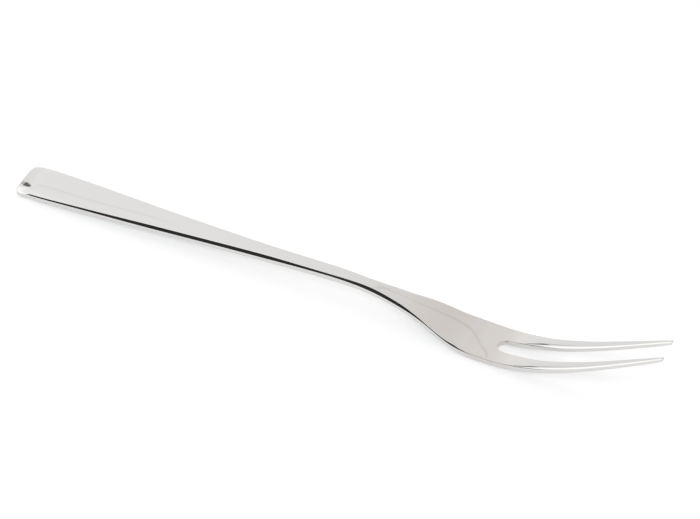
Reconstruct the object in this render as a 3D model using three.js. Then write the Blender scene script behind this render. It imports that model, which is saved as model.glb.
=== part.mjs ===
import * as THREE from 'three';
import { mergeVertices } from 'three/addons/utils/BufferGeometryUtils.js';

// A two-tined seafood fork, blanked, forged and pressed from one bar of stainless steel.
// Sizes are in millimetres and degrees. The fork lies on Z = 0 as on a table, with its handle
// towards -X, its tips towards +X and its hollow side up.

// Lengths along the fork, one after the other from the handle's end to the tips.
const HANDLE_LENGTH = 80;
const NECK_BEND_LENGTH = 22.6;
const SHANK_LENGTH = 14.4;
const REST_LENGTH = 2.5;
const TINE_REACH = 40.5;

// Side view. Heights are those of the middle of the metal.
const HANDLE_RISE = 4.88;
const HANDLE_END_ANGLE = 2.4;
const HANDLE_NECK_ANGLE = 3.45;
const SHANK_HEIGHT = 4.2;
const SHANK_FALL_ANGLE = 13.1;
const TIP_HEIGHT = 18.27;
const TIP_ANGLE = 30.1;

// Thickness of the metal, measured upright.
const END_THICKNESS = 1.88;
const HANDLE_THICKNESS = 2;
const NECK_THICKNESS = 2.19;
const HEAD_THICKNESS = 1.84;
const TINE_THICKNESS = 1.84;
const TIP_THICKNESS = 1.2;
const END_SWELL_LENGTH = 30;

// Plan view. The handle is widest at its end, the head is widest just before the slot.
const END_WIDTH = 9.6;
const END_PARALLEL_LENGTH = 8;
const END_CORNER_RADIUS = 1.4;
const END_BOW = 0.2;
const END_BOW_LENGTH = 10;
const HANDLE_TAPER_ANGLE = 2.06;
const NECK_WIDTH = 3.5;
const NECK_PAST_HANDLE = 6.8;
const SHOULDER_WIDTH = 5.33;
const SHOULDER_PAST_NECK = 11.2;
const SHOULDER_FLARE_ANGLE = 7.1;
const HEAD_WIDTH = 10.95;
const HEAD_BEFORE_REST = 1.6;
const TIP_SPAN = 6.33;
const TIP_TAPER_ANGLE = 4.8;

// Slot between the tines, with a round root.
const SLOT_ROOT_WIDTH = 3.52;
const SLOT_TINE_WIDTH = 4.25;
const SLOT_TIP_WIDTH = 4.5;
const SLOT_PAST_REST = 1.5;
const TINE_PAST_ROOT = 11;

// Rounded edges: soft on the handle and the tines, and tight round the top of the head and of the
// slot's root. Underneath they stay soft all along.
const END_EDGE_RADIUS = 0.5;
const END_BELLY_RADIUS = 0.4;
const END_SIDE_RADIUS = 0.25;
const HANDLE_EDGE_RADIUS = 1;
const HANDLE_BELLY_RADIUS = 0.93;
const HANDLE_EDGE_START = 45;
const HANDLE_EDGE_STOP = 60;
const NECK_EDGE_RADIUS = 0.62;
const SHOULDER_EDGE_RADIUS = 1.1;
const SHOULDER_EDGE_BEFORE = 3;
const SHANK_EDGE_RADIUS = 0.42;
const SHANK_EDGE_PAST_BEND = 2.8;
const HEAD_EDGE_RADIUS = 0.66;
const HEAD_EDGE_BEFORE = 4.8;
const REST_EDGE_RADIUS = 0.2;
const REST_EDGE_PAST_ROOT = 2;
const SLOT_EDGE_RADIUS = 0.2;
const BELLY_EDGE_RADIUS = 0.88;
const TINE_EDGE_RADIUS = 0.45;
const TINE_BELLY_RADIUS = 0.7;
const TINE_EDGE_PAST_ROOT = 16;
const TIP_EDGE_RADIUS = 0.35;
const SHARE_OF_METAL = 0.46;

// The handle's crowned face and turned-down end, the polished faces' roll-off towards their edges, the
// head's pressed hollow and the tips' ground underside.
const CROWN_RADIUS = 60;
const CROWN_FADE_LENGTH = 25;
const END_FALL_LENGTH = 4;
const END_FALL_DEPTH = 0.5;
const END_ROLL_WIDTH = 2;
const END_ROLL_LENGTH = 26;
const END_ROLL_RADIUS = 7;
const TINE_ROLL_WIDTH = 1.1;
const TINE_ROLL_RADIUS = 9;
const HEAD_HOLLOW = 0.17;
const HOLLOW_PAST_NECK = 3;
const ROOT_HOLLOW = 0.07;
const ROOT_HOLLOW_LENGTH = 6;
const HOLLOW_FADE_LENGTH = 10;
const TIP_GRIND_LENGTH = 4;
const TIP_GRIND_DEPTH = 0.3;

// Fineness of the skin: steps round an edge, and rows along each stretch of the fork.
const OUTER_EDGE_STEPS = 3;
const INNER_EDGE_STEPS = 2;
const FACE_STEPS = 3;
const ROOT_STEPS = 6;
const HANDLE_ROWS = 14;
const NECK_ROWS = 11;
const SHANK_ROWS = 6;
const TINE_ROWS = 16;
const LEAST_ROW_GAP = 0.03;

const { clamp, degToRad, lerp, smoothstep } = THREE.MathUtils;
const slopeOf = (degrees) => Math.tan(degToRad(degrees));

// Places along X, counted from the handle's end.
const neckBendStart = HANDLE_LENGTH;
const shankStart = neckBendStart + NECK_BEND_LENGTH;
const restStart = shankStart + SHANK_LENGTH;
const restEnd = restStart + REST_LENGTH;
const length = restEnd + TINE_REACH;
const neck = neckBendStart + NECK_PAST_HANDLE;
const shoulder = neck + SHOULDER_PAST_NECK;
const head = restStart - HEAD_BEFORE_REST;
const slotRoot = restEnd + SLOT_PAST_REST;
const slotCentre = slotRoot + SLOT_ROOT_WIDTH / 2;
const tightStop = slotRoot + REST_EDGE_PAST_ROOT;
const tine = slotRoot + TINE_PAST_ROOT;
const tineEdge = slotRoot + TINE_EDGE_PAST_ROOT;
const hollowStop = slotRoot + ROOT_HOLLOW_LENGTH;

// A smooth curve through knots of [place, value, slope], cubic between each pair.
function curve(knots) {
  return (x) => {
    let i = 0;
    while (i < knots.length - 2 && x > knots[i + 1][0]) i += 1;
    const [x0, value0, slope0] = knots[i];
    const [x1, value1, slope1] = knots[i + 1];
    const span = x1 - x0;
    const t = (x - x0) / span;
    const bend = span * t * (1 - t) * (slope0 * (1 - t) - slope1 * t);
    return lerp(value0, value1, t * t * (3 - 2 * t)) + bend;
  };
}

const tipThinning = (TIP_THICKNESS - TINE_THICKNESS) / (length - tine);
const thickness = curve([
  [0, END_THICKNESS, 0],
  [END_SWELL_LENGTH, HANDLE_THICKNESS, 0],
  [neck, NECK_THICKNESS, 0],
  [restStart, HEAD_THICKNESS, 0],
  [restEnd, HEAD_THICKNESS, 0],
  [tine, TINE_THICKNESS, tipThinning / 2],
  [length, TIP_THICKNESS, tipThinning],
]);

// The handle touches the table where the rounding under its end begins, and the head along its rest.
const endHeight = thickness(END_BELLY_RADIUS) / 2 - slopeOf(HANDLE_END_ANGLE) * END_BELLY_RADIUS;
const middle = curve([
  [0, endHeight, slopeOf(HANDLE_END_ANGLE)],
  [neckBendStart, endHeight + HANDLE_RISE, slopeOf(HANDLE_NECK_ANGLE)],
  [shankStart, SHANK_HEIGHT, -slopeOf(SHANK_FALL_ANGLE)],
  [restStart, HEAD_THICKNESS / 2, 0],
  [restEnd, HEAD_THICKNESS / 2, 0],
  [length, TIP_HEIGHT, slopeOf(TIP_ANGLE)],
]);

const sideEdge = curve([
  [0, END_WIDTH / 2, 0],
  [END_PARALLEL_LENGTH, END_WIDTH / 2, -slopeOf(HANDLE_TAPER_ANGLE)],
  [neck, NECK_WIDTH / 2, 0],
  [shoulder, SHOULDER_WIDTH / 2, slopeOf(SHOULDER_FLARE_ANGLE)],
  [head, HEAD_WIDTH / 2, 0],
  [length, TIP_SPAN / 2, -slopeOf(TIP_TAPER_ANGLE)],
]);

const slotWidening = (SLOT_TIP_WIDTH - SLOT_TINE_WIDTH) / 2 / (length - tine);
const slotSide = curve([
  [slotRoot, SLOT_ROOT_WIDTH / 2, 0],
  [tine, SLOT_TINE_WIDTH / 2, slotWidening],
  [length, SLOT_TIP_WIDTH / 2, slotWidening],
]);

// Rounding of the top face along the sides and along the slot, and of the whole bottom face.
const wantedRadius = curve([
  [0, END_SIDE_RADIUS, 0],
  [HANDLE_EDGE_START, HANDLE_EDGE_RADIUS, 0],
  [HANDLE_EDGE_STOP, HANDLE_EDGE_RADIUS, 0],
  [neckBendStart, NECK_EDGE_RADIUS, 0],
  [shoulder - SHOULDER_EDGE_BEFORE, SHOULDER_EDGE_RADIUS, 0],
  [shankStart + SHANK_EDGE_PAST_BEND, SHANK_EDGE_RADIUS, 0],
  [head - HEAD_EDGE_BEFORE, HEAD_EDGE_RADIUS, 0],
  [restStart, REST_EDGE_RADIUS, 0],
  [tightStop, REST_EDGE_RADIUS, 0],
  [tineEdge, TINE_EDGE_RADIUS, 0],
  [length, TIP_EDGE_RADIUS, 0],
]);

const wantedSlotRadius = curve([
  [slotRoot, SLOT_EDGE_RADIUS, 0],
  [tightStop, SLOT_EDGE_RADIUS, 0],
  [tineEdge, TINE_EDGE_RADIUS, 0],
  [length, TIP_EDGE_RADIUS, 0],
]);

const wantedUnderRadius = curve([
  [0, END_BELLY_RADIUS, 0],
  [END_SWELL_LENGTH, HANDLE_BELLY_RADIUS, 0],
  [neck, HANDLE_BELLY_RADIUS, 0],
  [restStart, BELLY_EDGE_RADIUS, 0],
  [tightStop, BELLY_EDGE_RADIUS, 0],
  [tineEdge, TINE_BELLY_RADIUS, 0],
  [length, TIP_EDGE_RADIUS, 0],
]);

const crown = curve([
  [0, 0.5 / CROWN_RADIUS, 0],
  [neck - CROWN_FADE_LENGTH, 0.5 / CROWN_RADIUS, 0],
  [neck, 0, 0],
  [length, 0, 0],
]);

const wantedRoll = curve([
  [0, END_ROLL_WIDTH, 0],
  [END_ROLL_LENGTH, 0, 0],
  [slotRoot, 0, 0],
  [tine, TINE_ROLL_WIDTH, 0],
  [length, TINE_ROLL_WIDTH, 0],
]);

const hollow = curve([
  [0, 0, 0],
  [neck + HOLLOW_PAST_NECK, 0, 0],
  [shankStart, HEAD_HOLLOW, 0],
  [restStart, HEAD_HOLLOW, 0],
  [slotRoot, ROOT_HOLLOW, 0],
  [hollowStop, ROOT_HOLLOW, 0],
  [hollowStop + HOLLOW_FADE_LENGTH, 0, 0],
  [length, 0, 0],
]);

// Depth of a quarter-round cut, at a distance in from the edge that it rounds.
function roundDrop(distance, radius) {
  const inset = clamp(radius - distance, 0, radius);
  return radius - Math.sqrt(radius * radius - inset * inset);
}

// Half of the outline's width at x, with the corners of the handle's end rounded.
function outerEdge(x) {
  return sideEdge(x) - roundDrop(x, END_CORNER_RADIUS);
}

// Half of the slot's width at x, which is zero before its root.
function innerEdge(x) {
  if (x <= slotRoot) return 0;
  return slotSide(x) - roundDrop(x - slotRoot, SLOT_ROOT_WIDTH / 2);
}

// The tips are ground from below to a blunt point.
function tipGrind(x) {
  const along = clamp(1 - (length - x) / TIP_GRIND_LENGTH, 0, 1);
  return TIP_GRIND_DEPTH * along * along;
}

// The handle's top face is turned down towards its end.
function endFall(x) {
  const along = clamp(1 - x / END_FALL_LENGTH, 0, 1);
  return END_FALL_DEPTH * along * along;
}

// Depth of the polished face's soft roll-off towards a rounded edge, at a distance in from it.
function rollOff(x, distance, edge) {
  const flat = (sideEdge(x) - innerEdge(x)) / 2 - edge;
  const inset = Math.max(0, Math.min(wantedRoll(x), flat) + edge - distance);
  return (inset * inset) / (2 * (x < neck ? END_ROLL_RADIUS : TINE_ROLL_RADIUS));
}

// An edge is rounded by at most a little under half of the metal that it has.
function mostRadius(x) {
  const upright = thickness(x) - hollow(x) - tipGrind(x) - endFall(x);
  const across = x > slotRoot ? outerEdge(x) - innerEdge(x) : 2 * outerEdge(x);
  return SHARE_OF_METAL * Math.min(upright, across);
}

function edgeRadius(x) {
  return Math.min(wantedRadius(x), mostRadius(x));
}

// The rounding of the slot's top edges starts a little before its root.
function slotRadius(x) {
  const place = Math.max(x, slotRoot);
  return Math.min(wantedSlotRadius(place), mostRadius(place));
}

function underRadius(x) {
  return Math.min(wantedUnderRadius(x), mostRadius(x));
}

// Distances in plan from a point of the blank to the handle's end, and to its sides and tips.
function edgeDistances(x, y) {
  const corner = END_WIDTH / 2 - END_CORNER_RADIUS;
  const inCorner = x < END_CORNER_RADIUS && y > corner;
  const arc = END_CORNER_RADIUS - Math.hypot(END_CORNER_RADIUS - x, y - corner);
  const end = inCorner ? arc : x;
  const side = inCorner ? arc : outerEdge(x) - y;
  return [Math.max(0, end), Math.max(0, Math.min(side, length - x))];
}

// Distance in plan from a point of the blank to the edge of the slot.
function slotDistance(x, y) {
  const beforeSlot = Math.hypot(x - slotCentre, y) - SLOT_ROOT_WIDTH / 2;
  return Math.max(0, x < slotCentre ? beforeSlot : y - innerEdge(x));
}

// How far the rounded edges lie below the top face, or above the bottom face.
function edgeDrop(x, y, endRadius, sideRadius, innerRadius) {
  const [end, side] = edgeDistances(x, y);
  const outerDrop = Math.max(roundDrop(end, endRadius), roundDrop(side, sideRadius));
  return Math.max(outerDrop, roundDrop(slotDistance(x, y), innerRadius));
}

function topHeight(x, y) {
  const side = sideEdge(x);
  const bend = crown(x) * (side * side - y * y) - hollow(x) * (1 - (y / side) ** 2);
  const sideRoll = rollOff(x, side - y, edgeRadius(x));
  const slotRoll = rollOff(x, slotDistance(x, y), slotRadius(x));
  const face = middle(x) + thickness(x) / 2 - endFall(x) - Math.max(sideRoll, slotRoll) + bend;
  return face - edgeDrop(x, y, END_EDGE_RADIUS, edgeRadius(x), slotRadius(x));
}

function bottomHeight(x, y) {
  const face = middle(x) - thickness(x) / 2 + tipGrind(x);
  return face + edgeDrop(x, y, END_BELLY_RADIUS, underRadius(x), underRadius(x));
}

// The handle's end is bowed out, so rows near it are set back towards its corners.
function bowedX(x, y) {
  const fade = clamp(1 - x / END_BOW_LENGTH, 0, 1) ** 2;
  return x + END_BOW * fade * (y / (END_WIDTH / 2)) ** 2;
}

function spread(from, to, steps) {
  return Array.from({ length: steps + 1 }, (_, i) => lerp(from, to, i / steps));
}

// Offsets that step evenly round a quarter circle, from its edge inwards.
function roundSteps(radius, steps) {
  return spread(0, Math.PI / 2, steps).map((angle) => radius * (1 - Math.cos(angle)));
}

// Rows of the skin along X, closer together where an edge turns.
const rows = [
  ...roundSteps(END_CORNER_RADIUS, OUTER_EDGE_STEPS + 2),
  END_BELLY_RADIUS,
  END_EDGE_RADIUS,
  END_FALL_LENGTH,
  ...spread(END_CORNER_RADIUS, neckBendStart, HANDLE_ROWS),
  ...spread(neckBendStart, shankStart, NECK_ROWS),
  ...spread(shankStart, restStart, SHANK_ROWS),
  head,
  restEnd,
  ...roundSteps(underRadius(slotRoot), OUTER_EDGE_STEPS).map((offset) => slotRoot - offset),
  ...roundSteps(SLOT_ROOT_WIDTH / 2, ROOT_STEPS).map((offset) => slotRoot + offset),
  ...spread(slotCentre, length - TIP_GRIND_LENGTH, TINE_ROWS),
  length - TIP_GRIND_LENGTH / 2,
  ...roundSteps(edgeRadius(length), OUTER_EDGE_STEPS).map((offset) => length - offset),
]
  .sort((a, b) => a - b)
  .filter((x, i, all) => i === 0 || x - all[i - 1] > LEAST_ROW_GAP);

// Columns of one row, from the middle of the fork or the slot's edge out to the side.
function columns(x, radius, innerRadius) {
  const inner = innerEdge(x);
  const outer = outerEdge(x);
  const nearSlot = smoothstep(x, shoulder, slotRoot);
  const even = spread(0, outer - radius - inner, INNER_EDGE_STEPS + FACE_STEPS);
  const innerSteps = roundSteps(innerRadius, INNER_EDGE_STEPS);
  const innerColumns = innerSteps.map((offset, i) => inner + lerp(even[i], offset, nearSlot));
  const face = spread(innerColumns.at(-1), outer - radius, FACE_STEPS).slice(1, -1);
  const outerColumns = roundSteps(radius, OUTER_EDGE_STEPS).map((offset) => outer - offset);
  return [...innerColumns, ...face, ...outerColumns.reverse()];
}

// The whole skin as one closed body: top and bottom faces, side walls, slot walls and the ends,
// for one half of the fork and then for its mirror image.
function forkGeometry() {
  const skin = (places, height) =>
    rows.map((x) => places(x).map((y) => new THREE.Vector3(bowedX(x, y), y, height(x, y))));
  const top = skin((x) => columns(x, edgeRadius(x), slotRadius(x)), topHeight);
  const bottom = skin((x) => columns(x, underRadius(x), underRadius(x)), bottomHeight);
  const lastRow = rows.length - 1;
  const lastColumn = top[0].length - 1;
  const quads = [];
  for (let i = 0; i < lastRow; i += 1) {
    for (let j = 0; j < lastColumn; j += 1) {
      quads.push([top[i][j], top[i + 1][j], top[i + 1][j + 1], top[i][j + 1]]);
      quads.push([bottom[i][j], bottom[i][j + 1], bottom[i + 1][j + 1], bottom[i + 1][j]]);
    }
    const [a, b] = [i, i + 1];
    quads.push([top[a][lastColumn], top[b][lastColumn], bottom[b][lastColumn], bottom[a][lastColumn]]);
    if (innerEdge(rows[b]) > 0) quads.push([top[a][0], bottom[a][0], bottom[b][0], top[b][0]]);
  }
  for (let j = 0; j < lastColumn; j += 1) {
    quads.push([top[0][j], top[0][j + 1], bottom[0][j + 1], bottom[0][j]]);
    quads.push([top[lastRow][j], bottom[lastRow][j], bottom[lastRow][j + 1], top[lastRow][j + 1]]);
  }

  const positions = [];
  for (const [a, b, c, d] of quads) {
    for (const corner of [a, b, c, a, c, d]) positions.push(corner.x, corner.y, corner.z);
    for (const corner of [a, c, b, a, d, c]) positions.push(corner.x, -corner.y, corner.z);
  }
  const geometry = new THREE.BufferGeometry();
  geometry.setAttribute('position', new THREE.Float32BufferAttribute(positions, 3));
  const merged = mergeVertices(geometry, 1e-4);
  merged.computeVertexNormals();
  return merged;
}

// Mirror-polished stainless steel.
const polishedSteel = new THREE.MeshStandardMaterial({ color: 0xd2d1ce, roughness: 0.1, metalness: 1 });

const fork = new THREE.Mesh(forkGeometry(), polishedSteel);
fork.name = 'fork';
fork.position.x = -length / 2;

const seafoodFork = new THREE.Group();
seafoodFork.add(fork);

export default seafoodFork;
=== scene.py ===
import math

import bmesh
import bpy
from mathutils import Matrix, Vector


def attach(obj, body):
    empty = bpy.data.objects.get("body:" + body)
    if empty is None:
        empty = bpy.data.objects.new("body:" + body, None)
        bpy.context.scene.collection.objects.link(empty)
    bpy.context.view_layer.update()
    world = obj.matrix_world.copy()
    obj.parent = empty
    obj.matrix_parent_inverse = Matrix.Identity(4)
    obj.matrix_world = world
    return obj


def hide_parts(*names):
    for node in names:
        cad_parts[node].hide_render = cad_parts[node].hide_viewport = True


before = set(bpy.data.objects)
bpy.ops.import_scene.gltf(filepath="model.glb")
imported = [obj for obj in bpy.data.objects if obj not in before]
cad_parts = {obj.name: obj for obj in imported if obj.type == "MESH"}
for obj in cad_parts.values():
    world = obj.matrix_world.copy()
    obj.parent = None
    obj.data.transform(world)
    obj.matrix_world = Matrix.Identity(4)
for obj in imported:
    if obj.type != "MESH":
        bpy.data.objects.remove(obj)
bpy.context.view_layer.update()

# The fork: one blank of stainless steel, forged to a wide thin handle and a slim neck, slotted and
# pressed into a shallow head with two upswept tines, then ground and polished all over.
# It lies as on a table, with its handle towards -X, its tips towards +X and its hollow side up.
MM = 0.001

# Lengths along the fork, one after the other from the handle's end to the tips.
handle_length = 80 * MM
neck_bend_length = 22.6 * MM
shank_length = 14.4 * MM
rest_length = 2.5 * MM
tine_reach = 40.5 * MM

# Side view: heights of the middle of the metal, and its slopes.
handle_rise = 4.88 * MM
handle_end_slope = math.tan(math.radians(2.4))
handle_neck_slope = math.tan(math.radians(3.45))
shank_height = 4.2 * MM
shank_fall = math.tan(math.radians(13.1))
tip_height = 18.27 * MM
tip_slope = math.tan(math.radians(30.1))

# Thickness of the metal, measured upright.
end_thickness = 1.88 * MM
handle_thickness = 2 * MM
neck_thickness = 2.19 * MM
head_thickness = 1.84 * MM
tine_thickness = 1.84 * MM
tip_thickness = 1.2 * MM
end_swell_length = 30 * MM

# Plan view.
end_width = 9.6 * MM
end_parallel_length = 8 * MM
end_corner_radius = 1.4 * MM
end_bow = 0.2 * MM
end_bow_length = 10 * MM
handle_taper = math.tan(math.radians(2.06))
neck_width = 3.5 * MM
neck_past_handle = 6.8 * MM
shoulder_width = 5.33 * MM
shoulder_past_neck = 11.2 * MM
shoulder_flare = math.tan(math.radians(7.1))
head_width = 10.95 * MM
head_before_rest = 1.6 * MM
tip_span = 6.33 * MM
tip_taper = math.tan(math.radians(4.8))

# Slot between the tines.
slot_root_width = 3.52 * MM
slot_tine_width = 4.25 * MM
slot_tip_width = 4.5 * MM
slot_past_rest = 1.5 * MM
tine_past_root = 11 * MM

# Rounded edges: soft on the handle and the tines, and nearly sharp round the top of the head and of the
# slot's root. Underneath they stay soft all along.
end_edge_radius = 0.5 * MM
end_belly_radius = 0.4 * MM
end_side_radius = 0.25 * MM
handle_edge_radius = 1 * MM
handle_belly_radius = 0.93 * MM
handle_edge_start = 45 * MM
handle_edge_stop = 60 * MM
neck_edge_radius = 0.62 * MM
shoulder_edge_radius = 1.1 * MM
shoulder_edge_before = 3 * MM
shank_edge_radius = 0.42 * MM
shank_edge_past_bend = 2.8 * MM
head_edge_radius = 0.66 * MM
head_edge_before = 4.8 * MM
rest_edge_radius = 0.08 * MM
rest_edge_past_root = 2 * MM
slot_edge_radius = 0.03 * MM
belly_edge_radius = 0.88 * MM
tine_edge_radius = 0.45 * MM
tine_belly_radius = 0.7 * MM
tine_edge_past_root = 16 * MM
tip_edge_radius = 0.35 * MM

# The handle's crowned face and turned-down end, the polished faces' roll-off towards their edges, the
# head's pressed hollow and the tips' ground underside.
crown_radius = 60 * MM
crown_fade_length = 25 * MM
end_fall_length = 4 * MM
end_fall_depth = 0.5 * MM
end_roll_width = 2 * MM
end_roll_length = 26 * MM
end_roll_radius = 7 * MM
tine_roll_width = 1.1 * MM
tine_roll_radius = 9 * MM
head_hollow = 0.17 * MM
hollow_past_neck = 3 * MM
root_hollow = 0.07 * MM
root_hollow_length = 6 * MM
hollow_fade_length = 10 * MM
tip_grind_length = 4 * MM
tip_grind_depth = 0.3 * MM
share_of_metal = 0.46

# Places along the fork, counted from the handle's end.
neck_bend_start = handle_length
shank_start = neck_bend_start + neck_bend_length
rest_start = shank_start + shank_length
rest_end = rest_start + rest_length
fork_length = rest_end + tine_reach
neck = neck_bend_start + neck_past_handle
shoulder = neck + shoulder_past_neck
head = rest_start - head_before_rest
slot_root = rest_end + slot_past_rest
slot_centre = slot_root + slot_root_width / 2
tine = slot_root + tine_past_root
tine_edge = slot_root + tine_edge_past_root


def clamp(value, low, high):
    return max(low, min(high, value))


def lerp(a, b, t):
    return a + (b - a) * t


def curve(knots):
    """A smooth curve through knots of (place, value, slope), cubic between each pair."""
    def at(x):
        i = 0
        while i < len(knots) - 2 and x > knots[i + 1][0]:
            i += 1
        (x0, value0, slope0), (x1, value1, slope1) = knots[i], knots[i + 1]
        span = x1 - x0
        t = (x - x0) / span
        bend = span * t * (1 - t) * (slope0 * (1 - t) - slope1 * t)
        return lerp(value0, value1, t * t * (3 - 2 * t)) + bend
    return at


tip_thinning = (tip_thickness - tine_thickness) / (fork_length - tine)
thickness = curve([
    (0, end_thickness, 0),
    (end_swell_length, handle_thickness, 0),
    (neck, neck_thickness, 0),
    (rest_start, head_thickness, 0),
    (rest_end, head_thickness, 0),
    (tine, tine_thickness, tip_thinning / 2),
    (fork_length, tip_thickness, tip_thinning),
])

end_height = thickness(end_belly_radius) / 2 - handle_end_slope * end_belly_radius
middle = curve([
    (0, end_height, handle_end_slope),
    (neck_bend_start, end_height + handle_rise, handle_neck_slope),
    (shank_start, shank_height, -shank_fall),
    (rest_start, head_thickness / 2, 0),
    (rest_end, head_thickness / 2, 0),
    (fork_length, tip_height, tip_slope),
])

side_edge = curve([
    (0, end_width / 2, 0),
    (end_parallel_length, end_width / 2, -handle_taper),
    (neck, neck_width / 2, 0),
    (shoulder, shoulder_width / 2, shoulder_flare),
    (head, head_width / 2, 0),
    (fork_length, tip_span / 2, -tip_taper),
])

slot_widening = (slot_tip_width - slot_tine_width) / 2 / (fork_length - tine)
slot_side = curve([
    (slot_root, slot_root_width / 2, 0),
    (tine, slot_tine_width / 2, slot_widening),
    (fork_length, slot_tip_width / 2, slot_widening),
])

wanted_radius = curve([
    (0, end_side_radius, 0),
    (handle_edge_start, handle_edge_radius, 0),
    (handle_edge_stop, handle_edge_radius, 0),
    (neck_bend_start, neck_edge_radius, 0),
    (shoulder - shoulder_edge_before, shoulder_edge_radius, 0),
    (shank_start + shank_edge_past_bend, shank_edge_radius, 0),
    (head - head_edge_before, head_edge_radius, 0),
    (rest_start, rest_edge_radius, 0),
    (slot_root + rest_edge_past_root, rest_edge_radius, 0),
    (tine_edge, tine_edge_radius, 0),
    (fork_length, tip_edge_radius, 0),
])

wanted_slot_radius = curve([
    (slot_root, slot_edge_radius, 0),
    (slot_root + rest_edge_past_root, slot_edge_radius, 0),
    (tine_edge, tine_edge_radius, 0),
    (fork_length, tip_edge_radius, 0),
])

wanted_under_radius = curve([
    (0, end_belly_radius, 0),
    (end_swell_length, handle_belly_radius, 0),
    (neck, handle_belly_radius, 0),
    (rest_start, belly_edge_radius, 0),
    (slot_root + rest_edge_past_root, belly_edge_radius, 0),
    (tine_edge, tine_belly_radius, 0),
    (fork_length, tip_edge_radius, 0),
])

crown = curve([
    (0, 0.5 / crown_radius, 0),
    (neck - crown_fade_length, 0.5 / crown_radius, 0),
    (neck, 0, 0),
    (fork_length, 0, 0),
])

wanted_roll = curve([
    (0, end_roll_width, 0),
    (end_roll_length, 0, 0),
    (slot_root, 0, 0),
    (tine, tine_roll_width, 0),
    (fork_length, tine_roll_width, 0),
])

hollow = curve([
    (0, 0, 0),
    (neck + hollow_past_neck, 0, 0),
    (shank_start, head_hollow, 0),
    (rest_start, head_hollow, 0),
    (slot_root, root_hollow, 0),
    (slot_root + root_hollow_length, root_hollow, 0),
    (slot_root + root_hollow_length + hollow_fade_length, 0, 0),
    (fork_length, 0, 0),
])


def round_drop(distance, radius):
    """Depth of a quarter-round cut, at a distance in from the edge that it rounds."""
    inset = clamp(radius - distance, 0, radius)
    return radius - math.sqrt(radius * radius - inset * inset)


def outer_edge(x):
    return side_edge(x) - round_drop(x, end_corner_radius)


def inner_edge(x):
    """Half of the slot's width, which is zero before its root."""
    if x <= slot_root:
        return 0
    return slot_side(x) - round_drop(x - slot_root, slot_root_width / 2)


def tip_grind(x):
    """The tips are ground from below to a blunt point."""
    along = clamp(1 - (fork_length - x) / tip_grind_length, 0, 1)
    return tip_grind_depth * along * along


def end_fall(x):
    """The handle's top face is turned down towards its end."""
    along = clamp(1 - x / end_fall_length, 0, 1)
    return end_fall_depth * along * along


def roll_off(x, distance, edge):
    """Depth of the polished face's soft roll-off towards a rounded edge, at a distance in from it."""
    flat = (side_edge(x) - inner_edge(x)) / 2 - edge
    inset = max(0, min(wanted_roll(x), flat) + edge - distance)
    return inset * inset / (2 * (end_roll_radius if x < neck else tine_roll_radius))


def most_radius(x):
    """An edge is rounded by at most a little under half of the metal that it has."""
    upright = thickness(x) - hollow(x) - tip_grind(x) - end_fall(x)
    across = outer_edge(x) - inner_edge(x) if x > slot_root else 2 * outer_edge(x)
    return share_of_metal * min(upright, across)


def edge_radius(x):
    return min(wanted_radius(x), most_radius(x))


def slot_radius(x):
    """Rounding of the slot's top edges, which starts a little before its root."""
    place = max(x, slot_root)
    return min(wanted_slot_radius(place), most_radius(place))


def under_radius(x):
    """Rounding of all edges of the bottom face."""
    return min(wanted_under_radius(x), most_radius(x))


def edge_distances(x, y):
    """Distances in plan from a point of the blank to the handle's end, and to its sides and tips."""
    corner = end_width / 2 - end_corner_radius
    if x < end_corner_radius and y > corner:
        end = side = end_corner_radius - math.hypot(end_corner_radius - x, y - corner)
    else:
        end, side = x, outer_edge(x) - y
    return max(0, end), max(0, min(side, fork_length - x))


def slot_distance(x, y):
    """Distance in plan from a point of the blank to the edge of the slot."""
    if x < slot_centre:
        return max(0, math.hypot(x - slot_centre, y) - slot_root_width / 2)
    return max(0, y - inner_edge(x))


def edge_drop(x, y, end_radius, side_radius, inner_radius):
    """How far the rounded edges lie below the top face, or above the bottom face."""
    end, side = edge_distances(x, y)
    outer_drop = max(round_drop(end, end_radius), round_drop(side, side_radius))
    return max(outer_drop, round_drop(slot_distance(x, y), inner_radius))


def top_height(x, y):
    side = side_edge(x)
    bend = crown(x) * (side * side - y * y) - hollow(x) * (1 - (y / side) ** 2)
    rolled = max(
        roll_off(x, side - y, edge_radius(x)),
        roll_off(x, slot_distance(x, y), slot_radius(x)),
    )
    face = middle(x) + thickness(x) / 2 - end_fall(x) - rolled + bend
    return face - edge_drop(x, y, end_edge_radius, edge_radius(x), slot_radius(x))


def bottom_height(x, y):
    face = middle(x) - thickness(x) / 2 + tip_grind(x)
    return face + edge_drop(x, y, end_belly_radius, under_radius(x), under_radius(x))


def bowed_x(x, y):
    """The handle's end is bowed out, so rows near it are set back towards its corners."""
    fade = clamp(1 - x / end_bow_length, 0, 1) ** 2
    return x + end_bow * fade * (y / (end_width / 2)) ** 2


def spread(start, stop, steps):
    return [lerp(start, stop, i / steps) for i in range(steps + 1)]


def round_steps(radius, steps):
    """Offsets that step evenly round a quarter circle, from its edge inwards."""
    return [radius * (1 - math.cos(angle)) for angle in spread(0, math.pi / 2, steps)]


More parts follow.
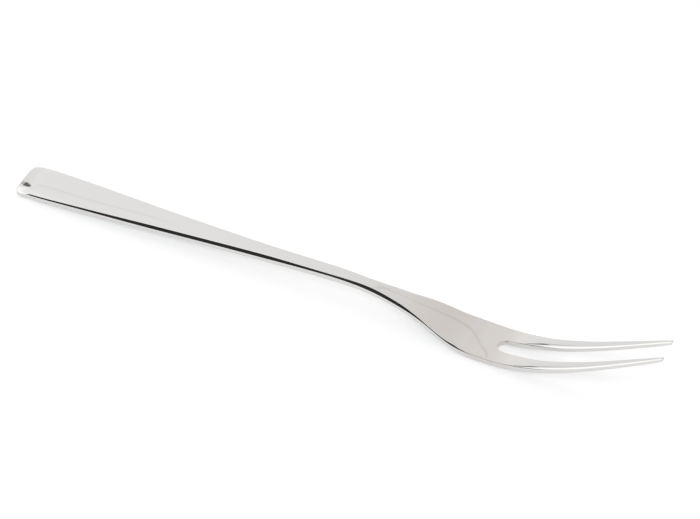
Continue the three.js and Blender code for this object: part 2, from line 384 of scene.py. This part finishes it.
# Rows of the skin along the fork, closer together where an edge turns.
corner_steps = 14
outer_edge_steps = 8
inner_edge_steps = 6
face_steps = 9
handle_steps = 96
neck_steps = 92
belly_steps = 14
root_steps = 18
tine_steps = 80
least_row_gap = 0.004 * MM
wanted_rows = [
    *round_steps(end_corner_radius, corner_steps),
    *round_steps(end_belly_radius, outer_edge_steps),
    *round_steps(end_edge_radius, outer_edge_steps),
    *spread(end_corner_radius, neck_bend_start, handle_steps),
    *spread(neck_bend_start, rest_start, neck_steps),
    *spread(rest_start, slot_root, belly_steps),
    *[slot_root - offset for offset in round_steps(slot_radius(slot_root), outer_edge_steps)],
    *[slot_root - offset for offset in round_steps(under_radius(slot_root), outer_edge_steps)],
    *[slot_root + offset for offset in round_steps(slot_root_width / 2, root_steps)],
    *spread(slot_centre, fork_length, tine_steps),
    *[fork_length - offset for offset in round_steps(edge_radius(fork_length), outer_edge_steps)],
]
rows = []
for x in sorted(wanted_rows):
    if not rows or x - rows[-1] > least_row_gap:
        rows.append(x)


def columns(x, radius, inner_radius):
    """Places across one row, from the fork's middle or the slot's edge out to the side."""
    inner, outer = inner_edge(x), outer_edge(x)
    lead = clamp((x - shoulder) / (slot_root - shoulder), 0, 1)
    near_slot = lead * lead * (3 - 2 * lead)
    even_steps = spread(0, outer - radius - inner, inner_edge_steps + face_steps)
    slot_steps = round_steps(inner_radius, inner_edge_steps)
    inner_columns = [
        inner + lerp(even_step, slot_step, near_slot)
        for even_step, slot_step in zip(even_steps, slot_steps)
    ]
    face = spread(inner_columns[-1], outer - radius, face_steps)[1:-1]
    outer_columns = [outer - offset for offset in reversed(round_steps(radius, outer_edge_steps))]
    return inner_columns + face + outer_columns


# One half of the skin is laid out row by row, then its mirror image, and the two are welded along the
# middle.
weld_gap = 0.0005 * MM
fork_mesh = bmesh.new()
top_places = [columns(x, edge_radius(x), slot_radius(x)) for x in rows]
bottom_places = [columns(x, under_radius(x), under_radius(x)) for x in rows]
last_row = len(rows) - 1
last_column = len(top_places[0]) - 1


def lay_skin(places, height, side):
    """Points of the top or the bottom skin, row by row, on the +Y side (1) or the -Y side (-1)."""
    skin = []
    for x, row_places in zip(rows, places):
        points = [(bowed_x(x, y) - fork_length / 2, side * y, height(x, y)) for y in row_places]
        skin.append([fork_mesh.verts.new(point) for point in points])
    return skin


def lay_face(corners, side):
    """One face of the skin, with its corners in turn so that it looks outwards on either side."""
    fork_mesh.faces.new(corners if side > 0 else corners[::-1])


for side in (1, -1):
    top = lay_skin(top_places, top_height, side)
    bottom = lay_skin(bottom_places, bottom_height, side)
    for i in range(last_row):
        for j in range(last_column):
            lay_face((top[i][j], top[i + 1][j], top[i + 1][j + 1], top[i][j + 1]), side)
            lay_face((bottom[i][j], bottom[i][j + 1], bottom[i + 1][j + 1], bottom[i + 1][j]), side)
        lay_face((top[i][-1], top[i + 1][-1], bottom[i + 1][-1], bottom[i][-1]), side)
        if inner_edge(rows[i + 1]) > 0:
            lay_face((top[i][0], bottom[i][0], bottom[i + 1][0], top[i + 1][0]), side)
    for j in range(last_column):
        lay_face((top[0][j], top[0][j + 1], bottom[0][j + 1], bottom[0][j]), side)
        lay_face((top[-1][j], bottom[-1][j], bottom[-1][j + 1], top[-1][j + 1]), side)
bmesh.ops.remove_doubles(fork_mesh, verts=fork_mesh.verts, dist=weld_gap)
for face in fork_mesh.faces:
    face.smooth = True


def put_in_scene(name, data):
    """A new object in the scene, for a mesh, a light or a camera."""
    thing = bpy.data.objects.new(name, data)
    bpy.context.scene.collection.objects.link(thing)
    return thing


fork_data = bpy.data.meshes.new("polished_fork")
fork_mesh.to_mesh(fork_data)
fork_mesh.free()
fork = put_in_scene("polished_fork", fork_data)

# Mirror-polished stainless steel: a faintly warm grey metal, with hairline polishing marks that run
# along the fork and faint duller patches all over it, as from handling. Round the slot's root its colour
# is painted a touch darker and warmer: painted shade, for the shaded table between the tines seen in it.
untouched_tone = (0.77, 0.762, 0.75, 1)
handled_tone = (0.79, 0.784, 0.774, 1)
untouched_roughness = 0.015
handled_roughness = 0.05
handled_patches_per_metre = 90
hairlines_per_metre = (60, 2600, 2600)
hairline_depth = 0.01 * MM
hairline_strength = 0.05
# Painted shade round the slot's root: its tint, and how far it reaches on either side.
painted_shade_tint = (0.95, 0.918, 0.9)
painted_shade_before_rest = 5 * MM
painted_shade_past_root = 8 * MM

polished_steel = bpy.data.materials.new("polished_steel")
polished_steel.use_nodes = True
steel_tree = polished_steel.node_tree
steel_nodes = steel_tree.nodes
steel_links = steel_tree.links
steel = steel_nodes["Principled BSDF"]
steel.inputs["Metallic"].default_value = 1


def smooth_step(tree, value, zero_at, one_at):
    """A mask in a node tree, which goes smoothly from 0 to 1 between two values."""
    step = tree.nodes.new("ShaderNodeMapRange")
    step.interpolation_type = "SMOOTHSTEP"
    step.inputs["From Min"].default_value = zero_at
    step.inputs["From Max"].default_value = one_at
    tree.links.new(value, step.inputs["Value"])
    return step.outputs["Result"]


def overlap(tree, first, second):
    """The mask where two masks of a node tree overlap."""
    product = tree.nodes.new("ShaderNodeMath")
    product.operation = "MULTIPLY"
    tree.links.new(first, product.inputs[0])
    tree.links.new(second, product.inputs[1])
    return product.outputs[0]


def tinted(tree, under, mask, blend, colour):
    """A colour of a node tree, changed by another colour where a mask is 1."""
    mix = tree.nodes.new("ShaderNodeMix")
    mix.data_type = "RGBA"
    mix.blend_type = blend
    mix.inputs["B"].default_value = (*colour, 1)
    tree.links.new(under, mix.inputs["A"])
    tree.links.new(mask, mix.inputs["Factor"])
    return mix.outputs["Result"]


object_place = steel_nodes.new("ShaderNodeTexCoord")
along_fork = steel_nodes.new("ShaderNodeMapping")
along_fork.inputs["Scale"].default_value = hairlines_per_metre
steel_links.new(object_place.outputs["Object"], along_fork.inputs["Vector"])

hairlines = steel_nodes.new("ShaderNodeTexNoise")
hairlines.inputs["Scale"].default_value = 1
hairlines.inputs["Detail"].default_value = 3
steel_links.new(along_fork.outputs["Vector"], hairlines.inputs["Vector"])

handling = steel_nodes.new("ShaderNodeTexNoise")
handling.inputs["Scale"].default_value = handled_patches_per_metre
handling.inputs["Detail"].default_value = 4
steel_links.new(object_place.outputs["Object"], handling.inputs["Vector"])

tone = steel_nodes.new("ShaderNodeMix")
tone.data_type = "RGBA"
tone.inputs["A"].default_value = untouched_tone
tone.inputs["B"].default_value = handled_tone
steel_links.new(handling.outputs["Fac"], tone.inputs["Factor"])

rest_start_x = rest_start - fork_length / 2
slot_root_x = slot_root - fork_length / 2
object_parts = steel_nodes.new("ShaderNodeSeparateXYZ")
steel_links.new(object_place.outputs["Object"], object_parts.inputs[0])
object_x = object_parts.outputs["X"]
# Painted shade: the steel's colour is darkened and warmed round the slot's root, fading out on either
# side.
painted_shade_near_root = overlap(
    steel_tree,
    smooth_step(steel_tree, object_x, rest_start_x - painted_shade_before_rest, rest_start_x),
    smooth_step(steel_tree, object_x, slot_root_x + painted_shade_past_root, slot_root_x),
)
tone_with_painted_shade = tinted(steel_tree, tone.outputs["Result"], painted_shade_near_root, "MULTIPLY", painted_shade_tint)
steel_links.new(tone_with_painted_shade, steel.inputs["Base Color"])

gloss = steel_nodes.new("ShaderNodeMapRange")
gloss.inputs["To Min"].default_value = untouched_roughness
gloss.inputs["To Max"].default_value = handled_roughness
steel_links.new(handling.outputs["Fac"], gloss.inputs["Value"])
steel_links.new(gloss.outputs["Result"], steel.inputs["Roughness"])

marks = steel_nodes.new("ShaderNodeBump")
marks.inputs["Strength"].default_value = hairline_strength
marks.inputs["Distance"].default_value = hairline_depth
steel_links.new(hairlines.outputs["Fac"], marks.inputs["Height"])
steel_links.new(marks.outputs["Normal"], steel.inputs["Normal"])

fork_data.materials.append(polished_steel)
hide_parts("fork")
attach(fork, "root")

# The table: a wide flat top of matt white paper under the fork, which keeps the fork's soft shadow. A
# glow that lights nothing else makes it white to the camera, and a little less white in the polished
# steel.
table_reach = 3
paper_colour = (0.69, 0.694, 0.698, 1)
glow_to_steel = 0.29
glow_to_camera = 0.405

table_data = bpy.data.meshes.new("table")
table_corners = [(x, y, 0) for x, y in ((-1, -1), (1, -1), (1, 1), (-1, 1))]
table_data.from_pydata([Vector(corner) * table_reach for corner in table_corners], [], [(0, 1, 2, 3)])
table = put_in_scene("table", table_data)

white_paper = bpy.data.materials.new("white_paper")
white_paper.use_nodes = True
paper_nodes = white_paper.node_tree.nodes
paper_links = white_paper.node_tree.links
paper_nodes.remove(paper_nodes["Principled BSDF"])
matt = paper_nodes.new("ShaderNodeBsdfDiffuse")
matt.inputs["Color"].default_value = paper_colour
glow = paper_nodes.new("ShaderNodeEmission")
paper_rays = paper_nodes.new("ShaderNodeLightPath")
steel_glow = paper_nodes.new("ShaderNodeMath")
steel_glow.operation = "MULTIPLY"
steel_glow.inputs[1].default_value = glow_to_steel
paper_links.new(paper_rays.outputs["Is Glossy Ray"], steel_glow.inputs[0])
whole_glow = paper_nodes.new("ShaderNodeMath")
whole_glow.operation = "MULTIPLY_ADD"
whole_glow.inputs[1].default_value = glow_to_camera
paper_links.new(paper_rays.outputs["Is Camera Ray"], whole_glow.inputs[0])
paper_links.new(steel_glow.outputs[0], whole_glow.inputs[2])
paper_links.new(whole_glow.outputs[0], glow.inputs["Strength"])
paper = paper_nodes.new("ShaderNodeAddShader")
paper_links.new(matt.outputs[0], paper.inputs[0])
paper_links.new(glow.outputs[0], paper.inputs[1])
paper_links.new(paper.outputs[0], paper_nodes["Material Output"].inputs["Surface"])
table_data.materials.append(white_paper)

# The studio: a pale cloth tent of soft light round the table, dimmer and warmer towards +X, with a
# brighter wall on the left. Its seams, folds and gaps are what the polished steel shows as lines: the
# dark gap in front, to the left of the camera, draws the black line along the fork's near edge.
studio = bpy.data.worlds.new("studio")
bpy.context.scene.world = studio
studio.use_nodes = True
studio_tree = studio.node_tree
studio_nodes = studio_tree.nodes
studio_links = studio_tree.links
direction = studio_nodes.new("ShaderNodeTexCoord")
direction_parts = studio_nodes.new("ShaderNodeSeparateXYZ")
studio_links.new(direction.outputs["Generated"], direction_parts.inputs[0])
to_x, to_y, to_z = direction_parts.outputs


def lean_along(axis):
    """How far the direction looked in leans along an axis."""
    lean = studio_nodes.new("ShaderNodeVectorMath")
    lean.operation = "DOT_PRODUCT"
    lean.inputs[1].default_value = axis
    studio_links.new(direction.outputs["Generated"], lean.inputs[0])
    return lean.outputs["Value"]


def below(value, high, soft):
    """A mask of the tent, 1 where a value is under high and falling to 0 over soft above it."""
    return smooth_step(studio_tree, value, high + soft, high)


def above(value, low, soft):
    """A mask of the tent, 1 where a value is over low and falling to 0 over soft below it."""
    return smooth_step(studio_tree, value, low - soft, low)


def band(value, low, high, soft):
    """A mask of the tent, 1 between low and high and falling to 0 over soft on either side."""
    return overlap(studio_tree, above(value, low, soft), below(value, high, soft))


# Light of the tent, from its left to its right: how far the direction looked in leans to +X, and the
# colour seen there.
tent_light = (
    (-0.72, (0.89, 0.89, 0.887)),
    (-0.6, (0.928, 0.926, 0.918)),
    (-0.49, (0.985, 0.972, 0.968)),
    (-0.39, (0.92, 0.915, 0.908)),
    (-0.24, (0.885, 0.883, 0.877)),
    (-0.12, (0.858, 0.84, 0.835)),
    (-0.03, (0.84, 0.828, 0.824)),
    (0.08, (0.8, 0.772, 0.742)),
    (0.2, (0.785, 0.743, 0.718)),
)
tent_left, tent_right = tent_light[0][0], tent_light[-1][0]
across_tent = studio_nodes.new("ShaderNodeMapRange")
across_tent.inputs["From Min"].default_value = tent_left
across_tent.inputs["From Max"].default_value = tent_right
studio_links.new(to_x, across_tent.inputs["Value"])
tent_cloth = studio_nodes.new("ShaderNodeValToRGB")
tent_stops = tent_cloth.color_ramp.elements
for lean, _ in tent_light[1:-1]:
    tent_stops.new((lean - tent_left) / (tent_right - tent_left))
for stop, (_, colour) in zip(tent_stops, tent_light):
    stop.color = (*colour, 1)
studio_links.new(across_tent.outputs["Result"], tent_cloth.inputs["Fac"])
tent = tent_cloth.outputs["Color"]

# The left wall starts at the tent's back corner, and is brightest low down. The lean past the corner is
# above 0 on the back cloth and below 0 on the wall.
left_wall_light = (1.06, 1.05, 1.045)
low_wall_light = (1.3, 1.29, 1.28)
past_corner = lean_along((0.454, 0.855, -0.253))
left_wall = overlap(
    studio_tree,
    smooth_step(studio_tree, past_corner, zero_at=0, one_at=-0.36),
    below(to_x, high=-0.43, soft=0.1),
)
low_wall = overlap(studio_tree, left_wall, below(to_z, high=0.6, soft=0.2))
tent = tinted(studio_tree, tent, left_wall, "MIX", left_wall_light)
tent = tinted(studio_tree, tent, low_wall, "MIX", low_wall_light)

# A thin seam joins the back cloth to the roof, and a fold runs across the back cloth.
seam_shade = (0.93, 0.93, 0.93)
fold_shade = (0.89, 0.875, 0.85)
whole_seam = band(lean_along((0, 0.447, 0.894)), low=0.8595, high=0.8615, soft=0.002)
seam_stretch = overlap(
    studio_tree,
    band(to_x, low=-0.56, high=-0.43, soft=0.03),
    below(to_y, high=0.592, soft=0.01),
)
roof_seam = overlap(studio_tree, whole_seam, seam_stretch)
whole_fold = band(lean_along((0.086, 0.963, 0.257)), low=0.783, high=0.787, soft=0.004)
cloth_fold = overlap(studio_tree, whole_fold, above(to_x, low=-0.31, soft=0.06))
tent = tinted(studio_tree, tent, roof_seam, "MULTIPLY", seam_shade)
tent = tinted(studio_tree, tent, cloth_fold, "MULTIPLY", fold_shade)

# A narrow gap at the back corner, darkest at its top, draws the marks on the handle's end and the tines.
corner_gap_shade = (0.62, 0.62, 0.62)
gap_top_light = (0.17, 0.165, 0.155)
corner_gap = overlap(
    studio_tree,
    band(past_corner, low=0.018, high=0.04, soft=0.008),
    below(to_z, high=0.62, soft=0.03),
)
gap_top = overlap(
    studio_tree,
    band(past_corner, low=-0.03, high=0.046, soft=0.007),
    band(to_z, low=0.532, high=0.66, soft=0.012),
)
tent = tinted(studio_tree, tent, corner_gap, "MULTIPLY", corner_gap_shade)
tent = tinted(studio_tree, tent, gap_top, "MIX", gap_top_light)

# In front hangs a cooler cloth on the right, beside the dark gap.
front_cloth_light = (0.86, 0.878, 0.9)
front_gap_light = (0.03, 0.03, 0.03)
front_cloth = overlap(studio_tree, below(to_y, high=-0.05, soft=0.1), above(to_x, low=-0.03, soft=0.1))
front_gap = overlap(
    studio_tree,
    band(to_x, low=-0.51, high=-0.03, soft=0.03),
    below(to_y, high=-0.03, soft=0.03),
)
tent = tinted(studio_tree, tent, front_cloth, "MIX", front_cloth_light)
tent = tinted(studio_tree, tent, front_gap, "MIX", front_gap_light)

# The camera sees plain white past the table's edge.
white = (1, 1, 1)
studio_rays = studio_nodes.new("ShaderNodeLightPath")
tent = tinted(studio_tree, tent, studio_rays.outputs["Is Camera Ray"], "MIX", white)
studio_links.new(tent, studio_nodes["Background"].inputs["Color"])

# The lamp: a round softbox, in line with the camera and a little higher, which keeps the fork's shadow
# close under it.
lamp_azimuth = math.radians(26)
lamp_elevation = math.radians(56)
lamp_distance = 1.3
lamp_data = bpy.data.lights.new("softbox", "AREA")
lamp_data.shape = "DISK"
lamp_data.size = 0.4
lamp_data.energy = 3.2


def out_from_fork(azimuth, elevation):
    """The direction at an azimuth, counted from -Y towards +X, and at an elevation."""
    level = math.cos(elevation)
    return Vector((math.sin(azimuth) * level, -math.cos(azimuth) * level, math.sin(elevation)))


def facing_back(outwards):
    """The turn of a lamp or a camera that stands in a direction and faces back along it."""
    return (-outwards).to_track_quat("-Z", "Y").to_euler()


towards_lamp = out_from_fork(lamp_azimuth, lamp_elevation)
lamp = put_in_scene("softbox", lamp_data)
lamp.location = towards_lamp * lamp_distance
lamp.rotation_euler = facing_back(towards_lamp)

# The camera: a long lens above the tips' near side, which sees the fork from the handle at the upper
# left to the tips at the lower right.
camera_azimuth = math.radians(26)
camera_elevation = math.radians(46)
camera_distance = 0.673
camera_aim = Vector((2.6, 4.1, 7.5)) * MM
camera_data = bpy.data.cameras.new("camera")
camera_data.sensor_width = 36
camera_data.lens = 154.3
towards_camera = out_from_fork(camera_azimuth, camera_elevation)
camera = put_in_scene("camera", camera_data)
camera.location = camera_aim + towards_camera * camera_distance
camera.rotation_euler = facing_back(towards_camera)
bpy.context.scene.camera = camera
bpy.context.scene.view_settings.view_transform = "Standard"
